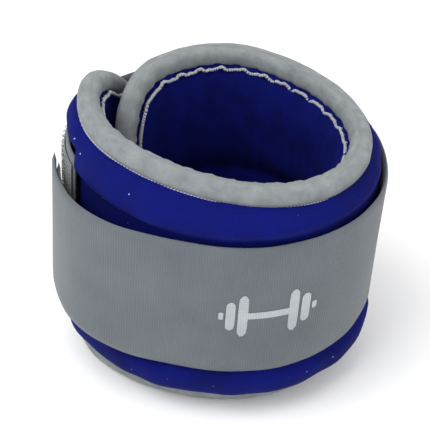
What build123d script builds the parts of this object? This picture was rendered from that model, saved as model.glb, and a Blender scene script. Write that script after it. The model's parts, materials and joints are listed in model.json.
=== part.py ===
from build123d import *
import os
from math import atan2, cos, degrees, radians, sin, sqrt, tan

# Ankle cuff weight, fastened into a ring and standing on its lower edge. All sizes are in millimetres.
# The padded band is one long strip, waisted in the middle, rolled clockwise (seen from above) into an
# oval ring whose outer end laps over its inner end. Its webbing strap is sewn to the outer end, goes once
# round the ring and presses onto the hook tape at its own beginning. Everything that bends is divided
# at the band's crease lines, and each crease is a hinge across the band on its outer face.
# "turn" is the angle in degrees travelled along the band from its inner end.

# Ring
START_ANGLE = 172.0        # polar angle of the band's inner end
BAND_TURN = 408.0          # whole turn of the padded band
RING_RADIUS = 46.5         # mean radius of the padded band's outer face
OVALITY = 0.05             # the ring is this much longer along LONG_ANGLE and shorter across it
LONG_ANGLE = -20.0
INNER_END_DROP = 9.4       # how far the inner end tucks in under the outer end
OUTER_END_RISE = 2.5       # how far the outer end rides up over it
LEAN = 4.2                 # degrees the ring leans towards its narrow waist to stand flat on its edge

# Outline of the padded band
MEAN_HALF_WIDTH = 45.2     # wider at both ends, narrower at the waist
WAIST_TURN = 204.0
INNER_CORNER_RADIUS = 24.0
OUTER_END_RADIUS = 46.0    # the outer end is almost a half circle
BINDING_WIDTH = 7.0
SEAM_WIDTH = 11.0          # from the edge to the stitching that closes the weight bags
VALLEY_HALF_WIDTH = 2.5    # half the gap between the upper and lower weight bags

# Layers, measured inwards from the outer face
COVER_THICKNESS = 2.5
LINING_THICKNESS = 2.3
LAYER_GAP = 0.2
BINDING_DEPTH = 8.0        # the binding is centred in the thickness of the padding

# Strap and its tapes
STRAP_WIDTH = 50.0
STRAP_THICKNESS = 1.5
STRAP_RISE = 8.0           # how far above the band's middle the strap is sewn on
STRAP_DROP = 7.5           # how much lower its free end sits
STRAP_START_TURN = 336.0
STRAP_END_TURN = 712.0
STRAP_GAP = 0.8            # from the cover to the strap's free run
STRAP_CLEARANCE = 0.6      # from the cover to the strap where the two are sewn
TIP_RISE = 6.8             # how far the free end rides up over the hook tape
TAPE_THICKNESS = 1.3
TAPE_GAP = 0.1
TAPE_MARGIN = 3.0          # from the strap's edge to the tape's edge
CREASE_MARGIN = 4.5        # turn left free each side of a crease, where a piece lies outside its hinge

# Box stitch that holds the strap on, as it shows on the lining
BOX_STITCH_LENGTH = 19.0
BOX_STITCH_WIDTH = 37.0
BOX_STITCH_TURN = 352.0
THREAD = 1.2

# Bodies along the band and the total thickness of the padding in each
BAND_BODIES = ["inner_end", "back", "right", "waist", "front", "left", "outer_end"]
THICKNESS = [9.0, 14.0, 16.5, 16.5, 16.5, 11.0, 8.5]
STRAIGHT_BODIES = (2, 3, 4)   # the ones that no rounded end reaches into
STRAP_BODIES = ["strap_back", "strap_right", "strap_waist", "strap_front", "strap_tip"]

BAND_STEP = BAND_TURN / (len(BAND_BODIES) - 1)
STRAP_STEP = (STRAP_END_TURN - BAND_TURN) / len(STRAP_BODIES)
REACH = 60.0               # past everything, for trimming


def smooth(x):
    """Rises from 0 to 1 with level ends."""
    x = min(1.0, max(0.0, x))
    return x * x * (3 - 2 * x)


def ring_radius(turn):
    """Radius of the slightly oval ring."""
    return RING_RADIUS * (1 + OVALITY * cos(radians(2 * (START_ANGLE - turn - LONG_ANGLE))))


def band_radius(turn):
    """Radius of the padded band's outer face."""
    tucked = INNER_END_DROP * (1 - smooth((turn - 20) / 75))
    raised = OUTER_END_RISE * smooth((turn - 300) / 60)
    return ring_radius(turn) - tucked + raised


def strap_radius(turn):
    """Radius of the strap's inner face."""
    if turn <= BAND_TURN:
        return band_radius(turn) + STRAP_CLEARANCE
    leaving = (OUTER_END_RISE + STRAP_CLEARANCE - STRAP_GAP) * (1 - smooth((turn - BAND_TURN) / 50))
    return ring_radius(turn) + STRAP_GAP + leaving + TIP_RISE * smooth((turn - 635) / 55)


def point(turn, radius, height=0.0):
    angle = radians(START_ANGLE - turn)
    return Vector(radius * cos(angle), radius * sin(angle), height)


def heading(turn, radius_of):
    """Direction of travel along the band or strap, in degrees."""
    step = 0.5
    ahead = point(turn + step, radius_of(turn + step))
    behind = point(turn - step, radius_of(turn - step))
    return degrees(atan2(ahead.Y - behind.Y, ahead.X - behind.X))


def arc_length(turn_a, turn_b, steps=24):
    """Length of the band's outer face between two turns."""
    places = [turn_a + (turn_b - turn_a) * k / steps for k in range(steps + 1)]
    points = [point(t, band_radius(t)) for t in places]
    return sum((b - a).length for a, b in zip(points, points[1:]))


def half_width(turn, inset=0.0):
    """Half the band's width: wide ends and a narrow waist, so that both edges lie flat when rolled up."""
    towards_waist = band_radius(turn) * cos(radians(turn - WAIST_TURN))
    half = MEAN_HALF_WIDTH - towards_waist * tan(radians(LEAN)) - inset
    corner = INNER_CORNER_RADIUS - inset
    from_inner = arc_length(0, turn) - inset
    if from_inner < corner:
        half -= corner - sqrt(max(0.0, corner**2 - (corner - from_inner) ** 2))
    end = OUTER_END_RADIUS - inset
    from_outer = arc_length(turn, BAND_TURN) - inset
    if from_outer < end:
        half *= sqrt(max(0.0, 1 - ((end - from_outer) / end) ** 2))
    return max(0.0, half)


def strap_middle(turn):
    """Height of the strap's long axis above the band's: the free end is pulled down a little."""
    return STRAP_RISE - STRAP_DROP * smooth((turn - 470) / 200)


def wall(turn_a, turn_b, radius_of, outside, inside, low, high):
    """Curved wall between two turns; outside and inside are offsets from the surface radius."""
    turns = [turn_a + (turn_b - turn_a) * k / 6 for k in range(7)]
    outer = [point(t, radius_of(t) + outside) for t in turns]
    inner = [point(t, radius_of(t) + inside) for t in turns]
    with BuildSketch() as plan:
        with BuildLine():
            Spline(*outer)
            Line(outer[-1], inner[-1])
            Spline(*inner[::-1])
            Line(inner[0], outer[0])
        make_face()
    return extrude(plan.sketch, high - low).moved(Location((0, 0, low)))


def band_span(index):
    """First and last turn of one of the band's bodies."""
    middle = index * BAND_STEP
    return max(0.0, middle - BAND_STEP / 2), min(BAND_TURN, middle + BAND_STEP / 2)


def strap_span(index):
    """First and last turn of one of the free strap's bodies."""
    middle = BAND_TURN + (index + 1) * STRAP_STEP
    return middle - STRAP_STEP / 2, min(STRAP_END_TURN, middle + STRAP_STEP / 2)


def between_edges(inset=0.0):
    """Block between the two planes that hold the band's long edges."""
    slope = REACH * tan(radians(LEAN))
    half = MEAN_HALF_WIDTH - inset
    wide = half + slope
    narrow = half - slope
    waist = radians(START_ANGLE - WAIST_TURN)
    side = Plane(origin=(0, 0, 0), x_dir=(cos(waist), sin(waist), 0), z_dir=(sin(waist), -cos(waist), 0))
    outline_points = [(-REACH, -wide), (REACH, -narrow), (REACH, narrow), (-REACH, wide)]
    return extrude(side * make_face(Polyline(*outline_points, close=True)), REACH, both=True)


def outline_stations(index, inset):
    """Turns at which the outline is taken, closer together where an end is rounded."""
    first, last = band_span(index)
    per_mm = degrees(1 / RING_RADIUS)
    count = 8
    if index == 0:
        first += inset * per_mm * RING_RADIUS / band_radius(0)
        return [first + (last - first) * (k / count) ** 2 for k in range(count + 1)]
    if index == len(BAND_BODIES) - 1:
        last -= inset * per_mm * RING_RADIUS / band_radius(BAND_TURN)
        return [last - (last - first) * (1 - k / count) ** 2 for k in range(count + 1)]
    return [first + (last - first) * k / count for k in range(count + 1)]


def outline(index, inset=0.0):
    """Block that trims a body's walls to the band's outline, cut radially through the ring."""
    edges = between_edges(inset)
    if index in STRAIGHT_BODIES:
        return edges
    middle = sum(band_span(index)) / 2
    normal = point(middle, 1.0)
    along = Vector(sin(radians(START_ANGLE - middle)), -cos(radians(START_ANGLE - middle)), 0)
    plane = Plane(origin=(0, 0, 0), x_dir=-along, z_dir=normal)
    stations = outline_stations(index, inset)
    depth = THICKNESS[index] / 2
    top = []
    bottom = []
    for turn in stations:
        spot = point(turn, band_radius(turn) - depth)
        across = plane.to_local_coords(spot).X
        half = half_width(turn, inset)
        top.append((across, half))
        bottom.append((across, -half))
    pointed = abs(top[-1][1] - bottom[-1][1]) < 0.05
    loop = top + (bottom[-2::-1] if pointed else bottom[::-1])
    return extrude(plane * make_face(Polyline(*loop, close=True)), REACH) & edges


def layers(index):
    """Offsets (outside, inside) of each layer of one body."""
    total = THICKNESS[index]
    bag_top = -COVER_THICKNESS - LAYER_GAP
    lining_top = -total + LINING_THICKNESS
    return {
        "outer_cover": (0.0, -COVER_THICKNESS),
        "weight_bag": (bag_top, lining_top + LAYER_GAP),
        "inner_lining": (lining_top, -total),
        "edge_binding": (-total / 2 + BINDING_DEPTH / 2, -total / 2 - BINDING_DEPTH / 2),
    }


def make_band_body(index):
    """The pieces of one length of the padded band."""
    first, last = band_span(index)
    where = BAND_BODIES[index]
    edge = outline(index)
    panel = outline(index, BINDING_WIDTH)
    pocket = outline(index, SEAM_WIDTH)
    layer = layers(index)

    def curved(name, low=-REACH, high=REACH):
        return wall(first, last, band_radius, *layer[name], low, high)

    pieces = {
        f"outer_cover_{where}": curved("outer_cover") & panel,
        f"inner_lining_{where}": curved("inner_lining") & panel,
        f"upper_weight_bag_{where}": curved("weight_bag", low=VALLEY_HALF_WIDTH) & pocket,
        f"lower_weight_bag_{where}": curved("weight_bag", high=-VALLEY_HALF_WIDTH) & pocket,
    }
    if index in (0, len(BAND_BODIES) - 1):
        pieces[f"edge_binding_{where}"] = (curved("edge_binding") & edge) - panel
    else:
        pieces[f"upper_edge_binding_{where}"] = (curved("edge_binding", low=0.0) & edge) - panel
        pieces[f"lower_edge_binding_{where}"] = (curved("edge_binding", high=0.0) & edge) - panel
    return pieces


def strap_wall(turn_a, turn_b, outside, inside, margin=0.0):
    """Length of strap or tape, level at the height of its own middle."""
    middle = strap_middle((turn_a + turn_b) / 2)
    half = STRAP_WIDTH / 2 - margin
    return wall(turn_a, turn_b, strap_radius, outside, inside, middle - half, middle + half)


def make_sewn_strap():
    """The strap's beginning, sewn on the outer end of the band, with the hook tape on its outer face."""
    crease = BAND_TURN - BAND_STEP / 2
    tape_outside = STRAP_THICKNESS + TAPE_GAP + TAPE_THICKNESS
    tape_inside = STRAP_THICKNESS + TAPE_GAP
    pieces = {}
    strap_crease = BAND_TURN + STRAP_STEP / 2
    for name, a, b, tape_a, tape_b in (
        ("left", STRAP_START_TURN, crease - CREASE_MARGIN, STRAP_START_TURN + 1, crease - CREASE_MARGIN),
        ("outer_end", crease + CREASE_MARGIN, strap_crease, crease + CREASE_MARGIN, BAND_TURN),
    ):
        pieces[f"sewn_strap_{name}"] = strap_wall(a, b, STRAP_THICKNESS, 0.0)
        tape = strap_wall(a, b, tape_outside, tape_inside, TAPE_MARGIN)
        pieces[f"hook_tape_{name}"] = tape & wall(tape_a, tape_b, strap_radius, 20, -20, -REACH, REACH)
    return pieces


def make_box_stitch():
    """Rectangle of thread on the lining, behind the sewn end of the strap."""
    index = BAND_BODIES.index("left")
    face = -THICKNESS[index]
    inner_radius = RING_RADIUS - THICKNESS[index]
    half_turn = degrees(BOX_STITCH_LENGTH / 2 / inner_radius)
    thread_turn = degrees(THREAD / inner_radius)
    whole = wall(*band_span(index), band_radius, face - 0.05, face - THREAD / 2, -REACH, REACH)

    def block(half_length, half_height):
        first, last = BOX_STITCH_TURN - half_length, BOX_STITCH_TURN + half_length
        return wall(first, last, band_radius, 0, -25, STRAP_RISE - half_height, STRAP_RISE + half_height)

    frame = block(half_turn, BOX_STITCH_WIDTH / 2)
    frame -= block(half_turn - thread_turn, BOX_STITCH_WIDTH / 2 - THREAD)
    return whole & frame


def make_free_strap():
    """The strap beyond the band's outer end, in its bodies, with the loop tape under the tip."""
    pieces = {}
    for index, name in enumerate(STRAP_BODIES):
        pieces[name] = strap_wall(*strap_span(index), STRAP_THICKNESS, 0.0)
    first, last = strap_span(len(STRAP_BODIES) - 1)
    inside = -TAPE_GAP - TAPE_THICKNESS
    pieces["loop_tape"] = strap_wall(first + 1, last - 1, -TAPE_GAP, inside, TAPE_MARGIN)
    return pieces


def crease_hinges():
    """Name, position and opening angle of every crease, from the band's inner end to the strap's tip."""
    found = []
    middles = [i * BAND_STEP for i in range(len(BAND_BODIES))]
    radii = [band_radius] * len(middles)
    names = [f"band_{b}" for b in BAND_BODIES]
    middles += [BAND_TURN + (k + 1) * STRAP_STEP for k in range(len(STRAP_BODIES))]
    radii += [strap_radius] * len(STRAP_BODIES)
    names += STRAP_BODIES
    for k in range(len(middles) - 1):
        turn = (middles[k] + middles[k + 1]) / 2
        on_strap = turn > BAND_TURN
        radius = strap_radius(turn) + STRAP_THICKNESS if on_strap else band_radius(turn)
        opening = (heading(middles[k], radii[k]) - heading(middles[k + 1], radii[k + 1])) % 360
        found.append((names[k], names[k + 1], point(turn, radius), opening))
    return found


def make_everything():
    pieces = {}
    for index in range(len(BAND_BODIES)):
        pieces.update(make_band_body(index))
    pieces.update(make_sewn_strap())
    pieces["strap_box_stitch"] = make_box_stitch()
    pieces.update(make_free_strap())
    return pieces


def stand_up(pieces):
    """Placement that leans the ring onto its lower edge and centres it on the origin."""
    waist = START_ANGLE - WAIST_TURN
    lean = Rot(Z=waist) * Rot(Y=LEAN) * Rot(Z=-waist)
    box = Compound(children=[lean * shape for shape in pieces.values()]).bounding_box()
    return Pos(-box.center().X, -box.center().Y, -box.min.Z) * lean


PIECES = make_everything()
PLACE = stand_up(PIECES)

os.makedirs("parts", exist_ok=True)
for name, shape in PIECES.items():
    export_step(PLACE * shape, f"parts/{name}.step")
for parent, child, spot, opening in crease_hinges():
    hinge = (PLACE * Pos(spot)).position
    print(f"{parent} {child} {hinge.X:.4f} {hinge.Y:.4f} {hinge.Z:.4f} {opening:.3f}")
upright = (PLACE * Pos(0, 0, 1)).position - PLACE.position
print(f"hinge axis {upright.X:.6f} {upright.Y:.6f} {upright.Z:.6f}")
print(f"band length {arc_length(0, BAND_TURN, 200):.1f} mm")
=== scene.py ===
import json
import math

import bpy
from mathutils import Matrix, Vector


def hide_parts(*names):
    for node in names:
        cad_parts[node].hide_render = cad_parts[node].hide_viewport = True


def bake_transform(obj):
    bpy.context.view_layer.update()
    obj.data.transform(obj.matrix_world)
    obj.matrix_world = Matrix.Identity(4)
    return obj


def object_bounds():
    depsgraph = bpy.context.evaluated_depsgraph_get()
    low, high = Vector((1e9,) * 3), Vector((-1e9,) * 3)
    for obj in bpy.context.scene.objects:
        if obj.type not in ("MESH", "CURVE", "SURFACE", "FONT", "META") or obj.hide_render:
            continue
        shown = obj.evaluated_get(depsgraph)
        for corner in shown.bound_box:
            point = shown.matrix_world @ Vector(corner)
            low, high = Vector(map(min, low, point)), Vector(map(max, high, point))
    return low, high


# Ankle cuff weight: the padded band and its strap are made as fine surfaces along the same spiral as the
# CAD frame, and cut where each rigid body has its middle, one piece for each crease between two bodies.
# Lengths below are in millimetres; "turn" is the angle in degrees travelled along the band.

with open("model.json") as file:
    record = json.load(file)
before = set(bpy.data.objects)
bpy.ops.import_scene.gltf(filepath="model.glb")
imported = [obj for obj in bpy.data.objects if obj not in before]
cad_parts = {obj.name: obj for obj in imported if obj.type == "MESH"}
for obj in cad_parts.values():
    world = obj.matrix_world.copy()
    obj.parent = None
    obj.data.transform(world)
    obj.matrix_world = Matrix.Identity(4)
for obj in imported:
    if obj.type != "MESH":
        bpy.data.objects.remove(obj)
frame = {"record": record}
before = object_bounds()

# Ring, as in the CAD frame
START_ANGLE = 172.0        # polar angle of the band's inner end
BAND_TURN = 408.0          # whole turn of the padded band
RING_RADIUS = 46.5         # mean radius of the padded band's outer face
OVALITY = 0.05             # the ring is this much longer along LONG_ANGLE and shorter across it
LONG_ANGLE = -20.0
INNER_END_DROP = 9.4       # how far the inner end tucks in under the outer end
TUCK_START = 20            # turns over which it comes back out
TUCK_LENGTH = 75
OUTER_END_RISE = 2.5       # how far the outer end rides up over it
RAISE_START = 300
RAISE_LENGTH = 60
LEAN = 4.2                 # degrees the ring leans towards its narrow waist to stand flat on its edge

# Outline and padding of the band, as in the CAD frame
MEAN_HALF_WIDTH = 45.2     # wider at both ends, narrower at the waist
WAIST_TURN = 204.0
INNER_CORNER_RADIUS = 24.0
OUTER_END_RADIUS = 46.0    # the outer end is almost a half circle
THICKNESS = [9.0, 14.0, 16.5, 16.5, 16.5, 11.0, 8.5]

# Strap and its tapes, as in the CAD frame
STRAP_WIDTH = 50.0
STRAP_THICKNESS = 1.5
STRAP_RISE = 8.0           # how far above the band's middle the strap is sewn on
STRAP_DROP = 7.5           # how much lower its free end sits
SLOPE_START = 470          # turns over which it comes down
SLOPE_LENGTH = 200
STRAP_START_TURN = 336.0
STRAP_END_TURN = 712.0
STRAP_GAP = 0.8            # from the cover to the strap's free run
STRAP_CLEARANCE = 0.6      # from the cover to the strap where the two are sewn
STRAP_LEAVING = 50         # turn over which the strap comes off the band's outer end
TIP_RISE = 6.8             # how far the free end rides up over the hook tape
TIP_START = 635
TIP_LENGTH = 55
TAPE_HALF_WIDTH = 22.0
TAPE_THICKNESS = 1.3
TAPE_GAP = 0.1
HOOK_BASE_THICKNESS = 0.75
STRAP_MM_PER_TURN = 0.85   # length of strap in one degree of turn, for its weave

# Soft shapes that only the visible model has
BINDING_HALF_WIDTH = 3.5
BINDING_HALF_DEPTH = 3.6
SKIN_INSET = 5.0           # from the band's outline to the edges of the cover and lining
COVER_BULGE = 2.9
COVER_WAVE = 0.6
ROLL_START = 0.70          # share of the half width at which the cover begins to roll in
ROLL_LENGTH = 0.30
GROOVE_DEPTH = 0.40        # share of the lining's bulge that is lost between the two weight bags
GROOVE_WIDTH = 5.0
STRAP_SWAY = 0.22
SKIN_COLUMNS = 64          # faces across the band
BINDING_SIDES = 18
STRAP_COLUMNS = 26
BAG_SIDES = 20

BAND_BODIES = ["inner_end", "back", "right", "waist", "front", "left", "outer_end"]
STRAP_BODIES = ["strap_back", "strap_right", "strap_waist", "strap_front", "strap_tip"]
BODIES = [f"band_{b}" for b in BAND_BODIES] + STRAP_BODIES
# Middles of the bodies, in even steps of turn along the band and then along the strap.
BAND_STEP = BAND_TURN / (len(BAND_BODIES) - 1)
STRAP_STEP = (STRAP_END_TURN - BAND_TURN) / len(STRAP_BODIES)
MIDDLES = [i * BAND_STEP for i in range(len(BAND_BODIES))]
MIDDLES += [BAND_TURN + (i + 1) * STRAP_STEP for i in range(len(STRAP_BODIES))]
LAST = len(BAND_BODIES) - 2
MM = 0.001


def smooth(x):
    x = min(1.0, max(0.0, x))
    return x * x * (3 - 2 * x)


def ripple(a, b=0.0, seed=0.0):
    """Smooth uneven waviness between about -1 and 1."""
    total = math.sin(a * 1.0 + 1.7 * math.sin(b * 0.9 + seed) + seed)
    total += 0.6 * math.sin(a * 1.93 + b * 1.3 + seed * 2.1)
    total += 0.4 * math.sin(a * 3.1 - b * 0.7 + seed * 0.6)
    return total / 2


# --- Shape of the spiral, as in the CAD frame ---


def ring_radius(turn):
    return RING_RADIUS * (1 + OVALITY * math.cos(math.radians(2 * (START_ANGLE - turn - LONG_ANGLE))))


def band_radius(turn):
    tucked = INNER_END_DROP * (1 - smooth((turn - TUCK_START) / TUCK_LENGTH))
    raised = OUTER_END_RISE * smooth((turn - RAISE_START) / RAISE_LENGTH)
    return ring_radius(turn) - tucked + raised


def strap_radius(turn):
    if turn <= BAND_TURN:
        return band_radius(turn) + STRAP_CLEARANCE
    leaving = OUTER_END_RISE + STRAP_CLEARANCE - STRAP_GAP
    leaving *= 1 - smooth((turn - BAND_TURN) / STRAP_LEAVING)
    tip = TIP_RISE * smooth((turn - TIP_START) / TIP_LENGTH)
    return ring_radius(turn) + STRAP_GAP + leaving + tip


def strap_middle(turn):
    return STRAP_RISE - STRAP_DROP * smooth((turn - SLOPE_START) / SLOPE_LENGTH)


def spiral(turn, radius, height):
    angle = math.radians(START_ANGLE - turn)
    return Vector((radius * math.cos(angle), radius * math.sin(angle), height))


ARC = [0.0]
for step in range(1, 2 * int(BAND_TURN) + 1):
    here = spiral(step / 2, band_radius(step / 2), 0)
    there = spiral((step - 1) / 2, band_radius((step - 1) / 2), 0)
    ARC.append(ARC[-1] + (here - there).length)


def along(turn):
    """Distance along the band's outer face and then the strap, in millimetres."""
    place = min(max(turn * 2, 0), len(ARC) - 1.001)
    whole = int(place)
    on_band = ARC[whole] + (ARC[whole + 1] - ARC[whole]) * (place - whole)
    return on_band + max(0, turn - BAND_TURN) * STRAP_MM_PER_TURN


def half_width(turn, inset=0.0):
    """Half the band's width: wide ends and a narrow waist, with rounded ends."""
    towards_waist = band_radius(turn) * math.cos(math.radians(turn - WAIST_TURN))
    half = MEAN_HALF_WIDTH - towards_waist * math.tan(math.radians(LEAN)) - inset
    corner = INNER_CORNER_RADIUS - inset
    from_inner = along(turn) - inset
    if from_inner < corner:
        half -= corner - math.sqrt(max(0.0, corner**2 - (corner - from_inner) ** 2))
    end = OUTER_END_RADIUS - inset
    from_outer = along(BAND_TURN) - along(turn) - inset
    if from_outer < end:
        half *= math.sqrt(max(0.0, 1 - ((end - from_outer) / end) ** 2))
    return max(0.0, half)


def thickness(turn):
    """Thickness of the padding, smooth from the middle of one body to the next."""
    place = min(max(turn / BAND_STEP, 0), len(THICKNESS) - 1.001)
    whole = int(place)
    return THICKNESS[whole] + (THICKNESS[whole + 1] - THICKNESS[whole]) * smooth(place - whole)


def binding_depth(turn):
    """Depth of the binding's middle below the outer face, just short of half way through the padding."""
    return thickness(turn) * 0.47


WAIST_ANGLE = math.radians(START_ANGLE - WAIST_TURN)
LEANING = (
    Matrix.Rotation(WAIST_ANGLE, 4, "Z")
    @ Matrix.Rotation(math.radians(LEAN), 4, "Y")
    @ Matrix.Rotation(-WAIST_ANGLE, 4, "Z")
)
MASTER = next(j for j in frame["record"]["behaviour"]["joints"] if j["name"] == "unroll")
MASTER_TURN = (MIDDLES[3] + MIDDLES[4]) / 2
SHIFT = Vector(MASTER["pos_m"]) / MM - LEANING @ spiral(MASTER_TURN, band_radius(MASTER_TURN), 0)


def place(turn, radius, height):
    """Point in the row frame, in metres."""
    return (LEANING @ spiral(turn, radius, height) + SHIFT) * MM


def outwards(turn):
    """Unit vector out of the ring."""
    return (LEANING.to_3x3() @ spiral(turn, 1, 0)).normalized()


# --- Mesh making ---


def span_of(turn):
    """Number of the crease that a turn belongs to: between the middles of two neighbouring bodies."""
    for index in range(len(MIDDLES) - 1):
        if turn < MIDDLES[index + 1]:
            return index
    return len(MIDDLES) - 2


def bend_over(obj, span):
    """Bakes the piece's placement into its mesh; the radii at the middles of the two bodies are worked out
    but not used.
    """
    for turn in (MIDDLES[span], MIDDLES[span + 1]):
        radius = band_radius(turn) if turn <= BAND_TURN else strap_radius(turn)
    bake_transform(obj)


def make_object(name, points, faces, coords, material, span):
    """coords are the fabric coordinates of each point, in millimetres."""
    mesh = bpy.data.meshes.new(name)
    mesh.from_pydata([tuple(p) for p in points], [], faces)
    layer = mesh.uv_layers.new(name="fabric")
    for loop in mesh.loops:
        layer.data[loop.index].uv = coords[loop.vertex_index]
    mesh.materials.append(material)
    mesh.shade_smooth()
    obj = bpy.data.objects.new(name, mesh)
    bpy.context.collection.objects.link(obj)
    bend_over(obj, span)
    return obj


def flat_coords(points):
    """Fabric coordinates for small loose pieces."""
    return [(p.x / MM, p.z / MM) for p in points]


def make_rows(name, rows, coords, groups, material, closed=False):
    """One object per group from rows of points; groups[k] = (suffix, span) of the faces after row k."""
    made = {}
    for suffix, span in dict.fromkeys(groups):
        points = []
        uvs = []
        faces = []
        index = {}
        width = len(rows[0])

        def vertex(row, column):
            key = (row, column)
            if key not in index:
                index[key] = len(points)
                points.append(rows[row][column])
                uvs.append(coords[row][column])
            return index[key]

        for row in range(len(rows) - 1):
            if groups[row] != (suffix, span):
                continue
            for column in range(width if closed else width - 1):
                after = (column + 1) % width
                corners = ((row, column), (row, after), (row + 1, after), (row + 1, column))
                faces.append([vertex(*c) for c in corners])
        made[suffix] = make_object(f"{name}_{suffix}", points, faces, uvs, material, span)
    return made


def stations(first, last, step, ease_first=False, ease_last=False):
    """Turns from first to last that always include the middles of the bodies."""
    marks = [first] + [m for m in MIDDLES if first + 0.5 < m < last - 0.5] + [last]
    found = []
    for a, b in zip(marks, marks[1:]):
        count = max(2, round((b - a) / step))
        for k in range(count):
            share = k / count
            if ease_first and a == first:
                share = share**1.9
            if ease_last and b == last:
                share = 1 - (1 - share) ** 1.9
            found.append(a + (b - a) * share)
    return found + [last]


# --- Materials ---


FABRIC_SHINE = 0.12
YARN_SHADE = 0.22
LINT_COLOUR = (0.35, 0.42, 0.62, 1)


def nodes_of(name):
    material = bpy.data.materials.new(name)
    material.use_nodes = True
    tree = material.node_tree
    return material, tree, tree.nodes["Principled BSDF"]


def add(tree, kind, **inputs):
    node = tree.nodes.new(kind)
    for key, value in inputs.items():
        node.inputs[key.replace("_", " ")].default_value = value
    return node


def fabric(name, dark, light, rough, weave, weave_depth, sheen=0.3, mottle=22.0, ribs=0.0, lint=False):
    """Cloth: two crossed waves for the yarns, blotches for the nap, a soft sheen and bits of lint."""
    material, tree, shader = nodes_of(name)
    link = tree.links.new
    uv = tree.nodes.new("ShaderNodeUVMap")
    uv.uv_map = "fabric"
    blotch = add(tree, "ShaderNodeTexNoise", Scale=1 / mottle, Detail=5.0, Roughness=0.6)
    link(uv.outputs["UV"], blotch.inputs["Vector"])
    ramp = tree.nodes.new("ShaderNodeValToRGB")
    ramp.color_ramp.elements[0].position = 0.3
    ramp.color_ramp.elements[1].position = 0.7
    ramp.color_ramp.elements[0].color = (*dark, 1)
    ramp.color_ramp.elements[1].color = (*light, 1)
    link(blotch.outputs["Fac"], ramp.inputs["Fac"])
    warp = add(tree, "ShaderNodeTexWave", Scale=weave, Distortion=1.2, Detail=2.0)
    warp.bands_direction = "X"
    weft = add(tree, "ShaderNodeTexWave", Scale=weave * (ribs or 1.0), Distortion=1.2, Detail=2.0)
    weft.bands_direction = "Y"
    link(uv.outputs["UV"], warp.inputs["Vector"])
    link(uv.outputs["UV"], weft.inputs["Vector"])
    yarns = tree.nodes.new("ShaderNodeMath")
    yarns.operation = "MULTIPLY"
    link(warp.outputs["Fac"], yarns.inputs[0])
    link(weft.outputs["Fac"], yarns.inputs[1])
    shade = tree.nodes.new("ShaderNodeMix")
    shade.data_type = "RGBA"
    shade.blend_type = "MULTIPLY"
    shade.inputs["Factor"].default_value = YARN_SHADE
    link(ramp.outputs["Color"], shade.inputs["A"])
    link(yarns.outputs["Value"], shade.inputs["B"])
    colour = shade.outputs["Result"]
    if lint:
        specks = add(tree, "ShaderNodeTexNoise", Scale=0.55, Detail=1.0)
        link(uv.outputs["UV"], specks.inputs["Vector"])
        cut = tree.nodes.new("ShaderNodeValToRGB")
        cut.color_ramp.elements[0].position = 0.775
        cut.color_ramp.elements[1].position = 0.80
        link(specks.outputs["Fac"], cut.inputs["Fac"])
        dust = tree.nodes.new("ShaderNodeMix")
        dust.data_type = "RGBA"
        link(cut.outputs["Color"], dust.inputs["Factor"])
        link(colour, dust.inputs["A"])
        dust.inputs["B"].default_value = LINT_COLOUR
        colour = dust.outputs["Result"]
    link(colour, shader.inputs["Base Color"])
    shader.inputs["Roughness"].default_value = rough
    shader.inputs["Sheen Weight"].default_value = sheen
    shader.inputs["Sheen Roughness"].default_value = 0.5
    shader.inputs["Specular IOR Level"].default_value = FABRIC_SHINE
    soft = add(tree, "ShaderNodeBump", Strength=0.35, Distance=0.0008)
    link(blotch.outputs["Fac"], soft.inputs["Height"])
    fine = add(tree, "ShaderNodeBump", Strength=weave_depth, Distance=0.00025)
    link(yarns.outputs["Value"], fine.inputs["Height"])
    link(soft.outputs["Normal"], fine.inputs["Normal"])
    link(fine.outputs["Normal"], shader.inputs["Normal"])
    return material


COVER = fabric(
    "cover_fabric", (0.0008, 0.003, 0.085), (0.0014, 0.0055, 0.15), 0.9, 0.45, 0.35, 0.0, lint=True
)
LINING = fabric("lining_fabric", (0.0006, 0.0025, 0.07), (0.0014, 0.005, 0.13), 0.95, 0.4, 0.25, 0.0, 9.0)
BINDING = fabric("binding_knit", (0.22, 0.245, 0.255), (0.34, 0.365, 0.375), 0.85, 0.9, 0.6, 0.1, 5.0, 1.4)
WEBBING = fabric("webbing", (0.115, 0.132, 0.147), (0.15, 0.17, 0.188), 0.55, 0.38, 0.55, 0.15, 30.0, 1.7)
FILL = fabric("weight_fill", (0.02, 0.02, 0.022), (0.06, 0.06, 0.065), 0.7, 0.5, 0.4)
HOOKS = fabric("hook_tape", (0.11, 0.12, 0.12), (0.22, 0.23, 0.24), 0.6, 0.5, 0.6)
LOOPS = fabric("loop_tape", (0.14, 0.15, 0.16), (0.24, 0.25, 0.26), 0.95, 0.6, 1.0, 0.5, 4.0)
THREAD = fabric("thread", (0.42, 0.44, 0.47), (0.55, 0.57, 0.6), 0.6, 1.2, 0.5, 0.1, 3.0)
PRINT = fabric("print", (0.40, 0.43, 0.45), (0.50, 0.53, 0.55), 0.45, 0.4, 0.3, 0.0, 10.0)


# --- The padded band ---

INNER_END_BEND = 38.0      # radius that each end of the band is rolled to, and one radian in degrees
OUTER_END_BEND = 50.0
RADIAN = 57.3
BAG_START = 17
BAG_END = BAND_TURN - 15
BAND_STATIONS = stations(6.0, BAND_TURN - 5.8, 1.6, ease_first=True, ease_last=True)


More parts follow.
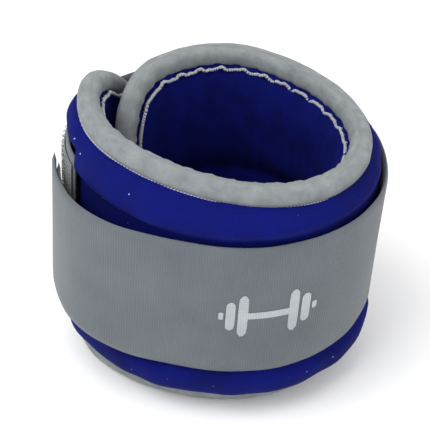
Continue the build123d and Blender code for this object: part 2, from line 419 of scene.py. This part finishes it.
def cover_offset(turn, height, half):
    """The cover bulges above and below the strap, is pressed in under it and rolls in to the binding."""
    edge = abs(height) / max(half, 1.0)
    under_strap = strap_middle(turn + 360) if turn < STRAP_START_TURN else strap_middle(turn)
    above = smooth((abs(height - under_strap) - STRAP_WIDTH / 2) / 5)
    free = smooth((turn - 45) / 40)
    bulge = COVER_BULGE * above * free
    wave = COVER_WAVE * ripple(along(turn) * 0.16, height * 0.05, 2.0) * above * free
    roll = max(0.0, (edge - ROLL_START) / ROLL_LENGTH)
    drop = (binding_depth(turn) - 1.2 + bulge) * (1 - math.sqrt(max(0.0, 1 - roll**2.6)))
    return bulge + wave - drop - 0.3


def lining_offset(turn, height, half):
    """The lining shows the two weight bags as long bulges, with a groove between them and small creases."""
    edge = abs(height) / max(half, 1.0)
    full = thickness(turn)
    shallow = binding_depth(turn) + 1.6
    lobe = max(0.0, 1 - abs((edge - 0.46) / 0.54) ** 2.6) ** 0.55
    groove = GROOVE_DEPTH * math.exp(-((height / GROOVE_WIDTH) ** 2))
    depth = shallow + max(0.0, full - shallow) * lobe * (1 - groove)
    crease = 0.45 * ripple(along(turn) * 0.32, height * 0.10, 5.0) * smooth(1.3 - abs(edge - 0.5))
    pucker = 0.7 * ripple(along(turn) * 0.7, 0.0, 1.0) * smooth((edge - 0.75) / 0.25)
    return -(depth + crease + pucker)


def band_skin(name, offset, material, flip):
    """Cover or lining, in one object for each crease; flip turns its faces to the inside of the ring."""
    rows = []
    coords = []
    for turn in BAND_STATIONS:
        half = half_width(turn, SKIN_INSET)
        row = []
        coord = []
        for k in range(SKIN_COLUMNS + 1):
            height = half * (1 - 2 * k / SKIN_COLUMNS) * (-1 if flip else 1)
            row.append(place(turn, band_radius(turn) + offset(turn, height, half), height))
            coord.append((along(turn), height))
        rows.append(row)
        coords.append(coord)
    groups = []
    for turn in BAND_STATIONS[:-1]:
        span = span_of(turn + 0.01)
        groups.append((BAND_BODIES[span] + "_to_" + BAND_BODIES[span + 1], span))
    return list(make_rows(name, rows, coords, groups, material).values())


def edge_path(inset):
    """Closed path round the band's outline as (turn, height), starting at the inner end's middle."""
    first = inset / INNER_END_BEND * RADIAN
    last = BAND_TURN - inset / OUTER_END_BEND * RADIAN
    turns = stations(first, last, 1.5, ease_first=True, ease_last=True)
    top = [(turn, half_width(turn, inset)) for turn in turns]
    flat = top[0][1]
    count = max(2, round(flat / 1.6))
    rise = [(first, flat * k / count) for k in range(count)]
    upper = rise + top[:-1] + [(last, 0.0)]
    return upper + [(turn, -height) for turn, height in upper[-2:0:-1]]


def edge_groups(path):
    """Object and crease that each length of the path belongs to; the ends are in one piece."""
    groups = []
    for k, (turn, height) in enumerate(path):
        after = path[(k + 1) % len(path)]
        span = span_of((turn + after[0]) / 2)
        where = BAND_BODIES[span] + "_to_" + BAND_BODIES[span + 1]
        if 0 < span < LAST:
            where = ("upper_" if height + after[1] > 0 else "lower_") + where
        groups.append((where, span))
    return groups


def squared(share):
    """Makes a round section a little squarer."""
    return math.copysign(abs(share) ** 0.85, share)


def make_binding():
    """Rounded knit tape along the whole outline, gathered on its inner side."""
    path = edge_path(BINDING_HALF_WIDTH)
    rows = []
    coords = []
    travelled = 0.0
    centres = []
    for turn, height in path:
        centres.append(place(turn, band_radius(turn) - binding_depth(turn), height))
    for k, (turn, height) in enumerate(path):
        before_it = centres[k - 1]
        after_it = centres[(k + 1) % len(path)]
        forward = (after_it - before_it).normalized()
        out = outwards(turn)
        aside = forward.cross(out).normalized()
        travelled += (centres[k] - centres[k - 1]).length / MM if k else 0.0
        row = []
        coord = []
        for side in range(BINDING_SIDES):
            angle = 2 * math.pi * side / BINDING_SIDES
            inner = max(0.0, -math.sin(angle))
            gather = 1 + inner * 0.10 * ripple(travelled * 0.9, 0, 3.0)
            gather += 0.03 * ripple(travelled * 0.35, 0, 1.0)
            wide = BINDING_HALF_WIDTH * gather * squared(math.cos(angle))
            deep = BINDING_HALF_DEPTH * gather * squared(math.sin(angle))
            row.append(centres[k] + (aside * wide + out * deep) * MM)
            coord.append((travelled, side * 1.4))
        rows.append(row)
        coords.append(coord)
    groups = edge_groups(path)
    rows.append(rows[0])
    coords.append(coords[0])
    return make_rows("binding", rows, coords, groups, BINDING, closed=True)


def thread_bit(points, faces, start, end, thick, out):
    """Short raised stitch between two points."""
    forward = (end - start).normalized()
    aside = forward.cross(out).normalized()
    base = len(points)
    for share, lift, size in ((0, -0.5, 0.6), (0.2, 0.5, 1), (0.8, 0.5, 1), (1, -0.5, 0.6)):
        middle = start.lerp(end, share) + out * thick * lift
        for side in range(6):
            angle = math.pi * side / 3
            points.append(middle + (aside * math.cos(angle) + out * math.sin(angle)) * thick * size)
    for ring in range(3):
        for side in range(6):
            a = base + ring * 6 + side
            b = base + ring * 6 + (side + 1) % 6
            faces.append([a, b, b + 6, a + 6])


def make_edge_stitching():
    """Line of thread where the binding meets the cover, and a puckered one where it meets the lining."""
    path = edge_path(BINDING_HALF_WIDTH * 2 - 1.2)
    gather = {}
    for face in (1, -1):
        spots = []
        for turn, height in path:
            walked = along(turn)
            depth = binding_depth(turn) - face * BINDING_HALF_DEPTH * (0.84 if face > 0 else 1.22)
            sway = 0.0 if face > 0 else 1.0 * ripple(walked * 0.62, 0.0, 1.5) + 0.8
            height -= math.copysign(sway, height) * min(1.0, abs(height) / 10)
            spots.append((turn, place(turn, band_radius(turn) - depth, height)))
        for k, (turn, spot) in enumerate(spots):
            after_turn, after = spots[(k + 1) % len(spots)]
            span = span_of((turn + after_turn) / 2)
            points, faces = gather.setdefault(span, ([], []))
            out = outwards(turn) * face
            thread_bit(points, faces, spot, after, (0.26 if face > 0 else 0.55) * MM, out)
    for span, (points, faces) in gather.items():
        name = f"edge_stitching_{BAND_BODIES[span]}_to_{BAND_BODIES[span + 1]}"
        make_object(name, points, faces, flat_coords(points), THREAD, span)


def make_weight_bag(side, sign):
    """Rounded tube of filling inside the band."""
    rows = []
    coords = []
    turns = stations(BAG_START, BAG_END, 3.0)
    for turn in turns:
        half = half_width(turn, 10.0)
        middle = sign * half * 0.5
        deep = max(1.2, thickness(turn) / 2 - 3.6)
        close = min(1.0, 0.25 + min(turn - BAG_START, BAG_END - turn) / 8)
        row = []
        coord = []
        for k in range(BAG_SIDES):
            angle = 2 * math.pi * k / BAG_SIDES
            radius = band_radius(turn) - thickness(turn) / 2 + deep * close * math.sin(angle)
            row.append(place(turn, radius, middle + half * 0.42 * close * math.cos(angle)))
            coord.append((along(turn), k * 2.0))
        rows.append(row)
        coords.append(coord)
    groups = []
    for turn in turns[:-1]:
        span = span_of(turn + 0.01)
        groups.append((BAND_BODIES[span] + "_to_" + BAND_BODIES[span + 1], span))
    return list(make_rows(f"{side}_weight_bag", rows, coords, groups, FILL, True).values())


covers = band_skin("outer_cover", cover_offset, COVER, False)
linings = band_skin("inner_lining", lining_offset, LINING, True)
bindings = make_binding()
make_edge_stitching()
upper_bags = make_weight_bag("upper", 1)
lower_bags = make_weight_bag("lower", -1)


# --- Strap, tapes and print ---


def strap_sway(turn, height):
    """Small waves of the strap and of what is printed on it."""
    return STRAP_SWAY * ripple(turn * 0.11, height * 0.06, 4.0)


def strap_piece(name, first, last, outside, inside, half, material):
    """Flat woven length with rounded edges, cut at the middles of the bodies."""
    turns = stations(first, last, 1.5)
    edge_round = 0.5
    ring = []
    for k in range(STRAP_COLUMNS + 1):
        ring.append((half - 2 * half * k / STRAP_COLUMNS, 1.0))
    for k in range(STRAP_COLUMNS + 1):
        ring.append((-half + 2 * half * k / STRAP_COLUMNS, 0.0))
    rows = []
    coords = []
    for turn in turns:
        end_share = min(1.0, (min(turn - first, last - turn) + 0.15) / 0.5)
        row = []
        coord = []
        for height, face in ring:
            near = max(0.0, (abs(height) - half + edge_round) / edge_round)
            middle = (outside + inside) / 2
            thick = (outside - inside) / 2 * math.sqrt(max(0.05, 1 - near**2)) * max(0.35, end_share)
            offset = middle + (thick if face else -thick)
            sway = strap_sway(turn, height) * smooth((turn - BAND_TURN) / 20)
            row.append(place(turn, strap_radius(turn) + offset + sway, strap_middle(turn) + height))
            coord.append((turn * STRAP_MM_PER_TURN, height))
        rows.append(row)
        coords.append(coord)
    groups = []
    for turn in turns[:-1]:
        span = span_of(turn + 0.01)
        groups.append((BODIES[span].replace("band_", "") + "_on", span))
    return list(make_rows(name, rows, coords, groups, material, True).values())


HALF_STRAP = STRAP_WIDTH / 2
HOOK_TOP = STRAP_THICKNESS + HOOK_BASE_THICKNESS
HOOK_START = STRAP_START_TURN + 1
LOOP_START = MIDDLES[-1] - STRAP_STEP / 2 + 1
LOOP_END = STRAP_END_TURN - 1
LOOP_BOTTOM = -TAPE_THICKNESS

strap = strap_piece(
    "strap", STRAP_START_TURN, STRAP_END_TURN, STRAP_THICKNESS, 0.0, HALF_STRAP, WEBBING
)
hook_base = strap_piece(
    "hook_tape", HOOK_START, BAND_TURN, HOOK_TOP, STRAP_THICKNESS, TAPE_HALF_WIDTH, HOOKS
)
loop = strap_piece(
    "loop_tape", LOOP_START, LOOP_END, -TAPE_GAP, LOOP_BOTTOM, TAPE_HALF_WIDTH, LOOPS
)


def make_hooks():
    """Rows of small bent bristles on the hook tape."""
    rows, columns = 46, 31
    row_step, column_step = 1.55, 1.4
    lowest = -21.3
    gather = {}
    for i, turn in enumerate([STRAP_START_TURN + 2 + row_step * k for k in range(rows)]):
        for j in range(columns):
            height = lowest + column_step * j + (0.7 if i % 2 else 0)
            lean = 0.35 * ripple(i * 2.3, j * 3.1, 1.0)
            span = span_of(turn)
            points, faces = gather.setdefault(span, ([], []))
            radius = strap_radius(turn) + STRAP_THICKNESS + 0.7
            middle = strap_middle(turn)
            root = place(turn, radius, middle + height)
            bend = place(turn + 0.2, radius + 0.75, middle + height + lean)
            tip = place(turn + 0.9, radius + 0.6, middle + height + lean)
            out = outwards(turn)
            across = place(turn, radius, middle + height + 0.16) - root
            side = out.cross(across.normalized()) * 0.14 * MM
            base = len(points)
            for spot in (root, bend, tip):
                points.extend([spot + across * 0.7, spot - across * 0.7, spot + side + out * 0.05 * MM])
            for ring in range(2):
                for k in range(3):
                    a = base + ring * 3 + k
                    b = base + ring * 3 + (k + 1) % 3
                    faces.append([a, b, b + 3, a + 3])
    for span, (points, faces) in gather.items():
        name = f"hooks_{BODIES[span]}_on"
        make_object(name, points, faces, flat_coords(points), HOOKS, span)


def make_box_stitch():
    """Rectangle and cross of stitches on the lining, behind the strap's sewn end; the CAD has no cross."""
    points = []
    faces = []
    middle, long_half, tall_half = 356.0, 11.5, 18.5
    corners = [(-1, -1), (1, -1), (1, 1), (-1, 1)]
    lines = list(zip(corners, corners[1:] + corners[:1])) + [((-1, -1), (1, 1)), ((-1, 1), (1, -1))]
    for (a, b), (c, d) in lines:
        length = math.hypot((c - a) * long_half * 0.55, (d - b) * tall_half)
        count = round(length / 2.6)
        for k in range(count):
            spots = []
            for share in (k / count, (k + 0.7) / count):
                turn = middle + long_half * (a + (c - a) * share)
                height = STRAP_RISE + tall_half * (b + (d - b) * share)
                radius = band_radius(turn) + lining_offset(turn, height, half_width(turn, SKIN_INSET)) - 0.3
                spots.append(place(turn, radius, height))
            thread_bit(points, faces, spots[0], spots[1], 0.3 * MM, -outwards(middle))
    return make_object("box_stitch", points, faces, flat_coords(points), THREAD, span_of(middle))


def make_print():
    """Plain dumbbell picture printed on the strap."""
    centre, scale, drop = 606.0, 1.16, 1.0
    bars = [(0, 0, 9.5, 1.3), (-8.2, 0, 1.6, 8.2), (8.2, 0, 1.6, 8.2)]
    bars += [(-12.2, 0, 1.5, 5.6), (12.2, 0, 1.5, 5.6), (-15.2, 0, 0.8, 1.5), (15.2, 0, 0.8, 1.5)]
    points = []
    faces = []
    for x, y, half_x, half_y in bars:
        columns = max(2, round(half_x * 2))
        base = len(points)
        for k in range(columns + 1):
            share = -1 + 2 * k / columns
            pinch = 1 - 0.16 * abs(share) ** 6
            for m in range(9):
                across = x + half_x * share * (1 - 0.1 * abs(m / 4 - 1) ** 6)
                height = y + half_y * pinch * (m / 4 - 1)
                turn = centre + across * scale
                radius = strap_radius(turn) + STRAP_THICKNESS + 0.12
                radius += strap_sway(turn, height - drop)
                points.append(place(turn, radius, strap_middle(turn) - drop + height))
        for k in range(columns):
            for m in range(8):
                a = base + k * 9 + m
                faces.append([a, a + 1, a + 10, a + 9])
    make_object("strap_print", points, faces, flat_coords(points), PRINT, span_of(centre))


make_hooks()
box_stitch = make_box_stitch()
make_print()


# --- Which CAD nodes each piece stands for ---

for prefix, made in (
    ("outer_cover", covers),
    ("inner_lining", linings),
    ("upper_weight_bag", upper_bags),
    ("lower_weight_bag", lower_bags),
):
    for index, obj in enumerate(made):
        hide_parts(f"{prefix}_{BAND_BODIES[index]}")
    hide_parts(f"{prefix}_{BAND_BODIES[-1]}")
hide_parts("edge_binding_inner_end")
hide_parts("edge_binding_outer_end")
for index in range(1, LAST):
    for level in ("upper", "lower"):
        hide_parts(f"{level}_edge_binding_{BAND_BODIES[index]}")
for level in ("upper", "lower"):
    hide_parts(f"{level}_edge_binding_left")
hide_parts("sewn_strap_left")
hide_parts("sewn_strap_outer_end")
for index, body in enumerate(STRAP_BODIES):
    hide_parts(body)
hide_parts("hook_tape_left")
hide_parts("hook_tape_outer_end")
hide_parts("loop_tape")
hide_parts("strap_box_stitch")


# --- Floor, light and camera ---

CAMERA_ELEVATION = 35.0
CAMERA_DISTANCE = 0.43
CAMERA_LENS = 108
FLOOR_HALF = 6
FLOOR_DROP = 0.0006

floor_mesh = bpy.data.meshes.new("floor")
floor_corners = [(x * FLOOR_HALF, y * FLOOR_HALF, 0) for x, y in ((-1, -1), (1, -1), (1, 1), (-1, 1))]
floor_mesh.from_pydata(floor_corners, [], [(0, 1, 2, 3)])
floor = bpy.data.objects.new("floor", floor_mesh)
floor.location.z = -FLOOR_DROP
bpy.context.collection.objects.link(floor)
floor_material, _, floor_shader = nodes_of("floor_white")
floor_shader.inputs["Base Color"].default_value = (0.9, 0.9, 0.9, 1)
floor_shader.inputs["Roughness"].default_value = 0.9
floor_mesh.materials.append(floor_material)

world = bpy.data.worlds.new("world")
bpy.context.scene.world = world
world.use_nodes = True
world.node_tree.nodes["Background"].inputs["Color"].default_value = (1, 1, 1, 1)
world.node_tree.nodes["Background"].inputs["Strength"].default_value = 1.0


def area_light(name, spot, size, power, target=(0, 0, 0.05)):
    data = bpy.data.lights.new(name, "AREA")
    data.size = size
    data.energy = power
    lamp = bpy.data.objects.new(name, data)
    lamp.location = spot
    lamp.rotation_euler = (Vector(target) - Vector(spot)).to_track_quat("-Z", "Y").to_euler()
    bpy.context.collection.objects.link(lamp)


area_light("key", (-0.35, -0.25, 0.75), 0.6, 4.5)
area_light("fill", (0.6, -0.5, 0.45), 0.6, 1.2)

camera_data = bpy.data.cameras.new("camera")
camera_data.lens = CAMERA_LENS
camera_data.clip_start = 0.01
camera = bpy.data.objects.new("camera", camera_data)
bpy.context.collection.objects.link(camera)
elevation = math.radians(CAMERA_ELEVATION)
aim = (before[0] + before[1]) / 2
away = Vector((0, -math.cos(elevation), math.sin(elevation)))
camera.location = aim + away * CAMERA_DISTANCE
camera.rotation_mode = "QUATERNION"
camera.rotation_quaternion = (-away).to_track_quat("-Z", "Y")
bpy.context.scene.camera = camera
bpy.context.scene.view_settings.view_transform = "Standard"
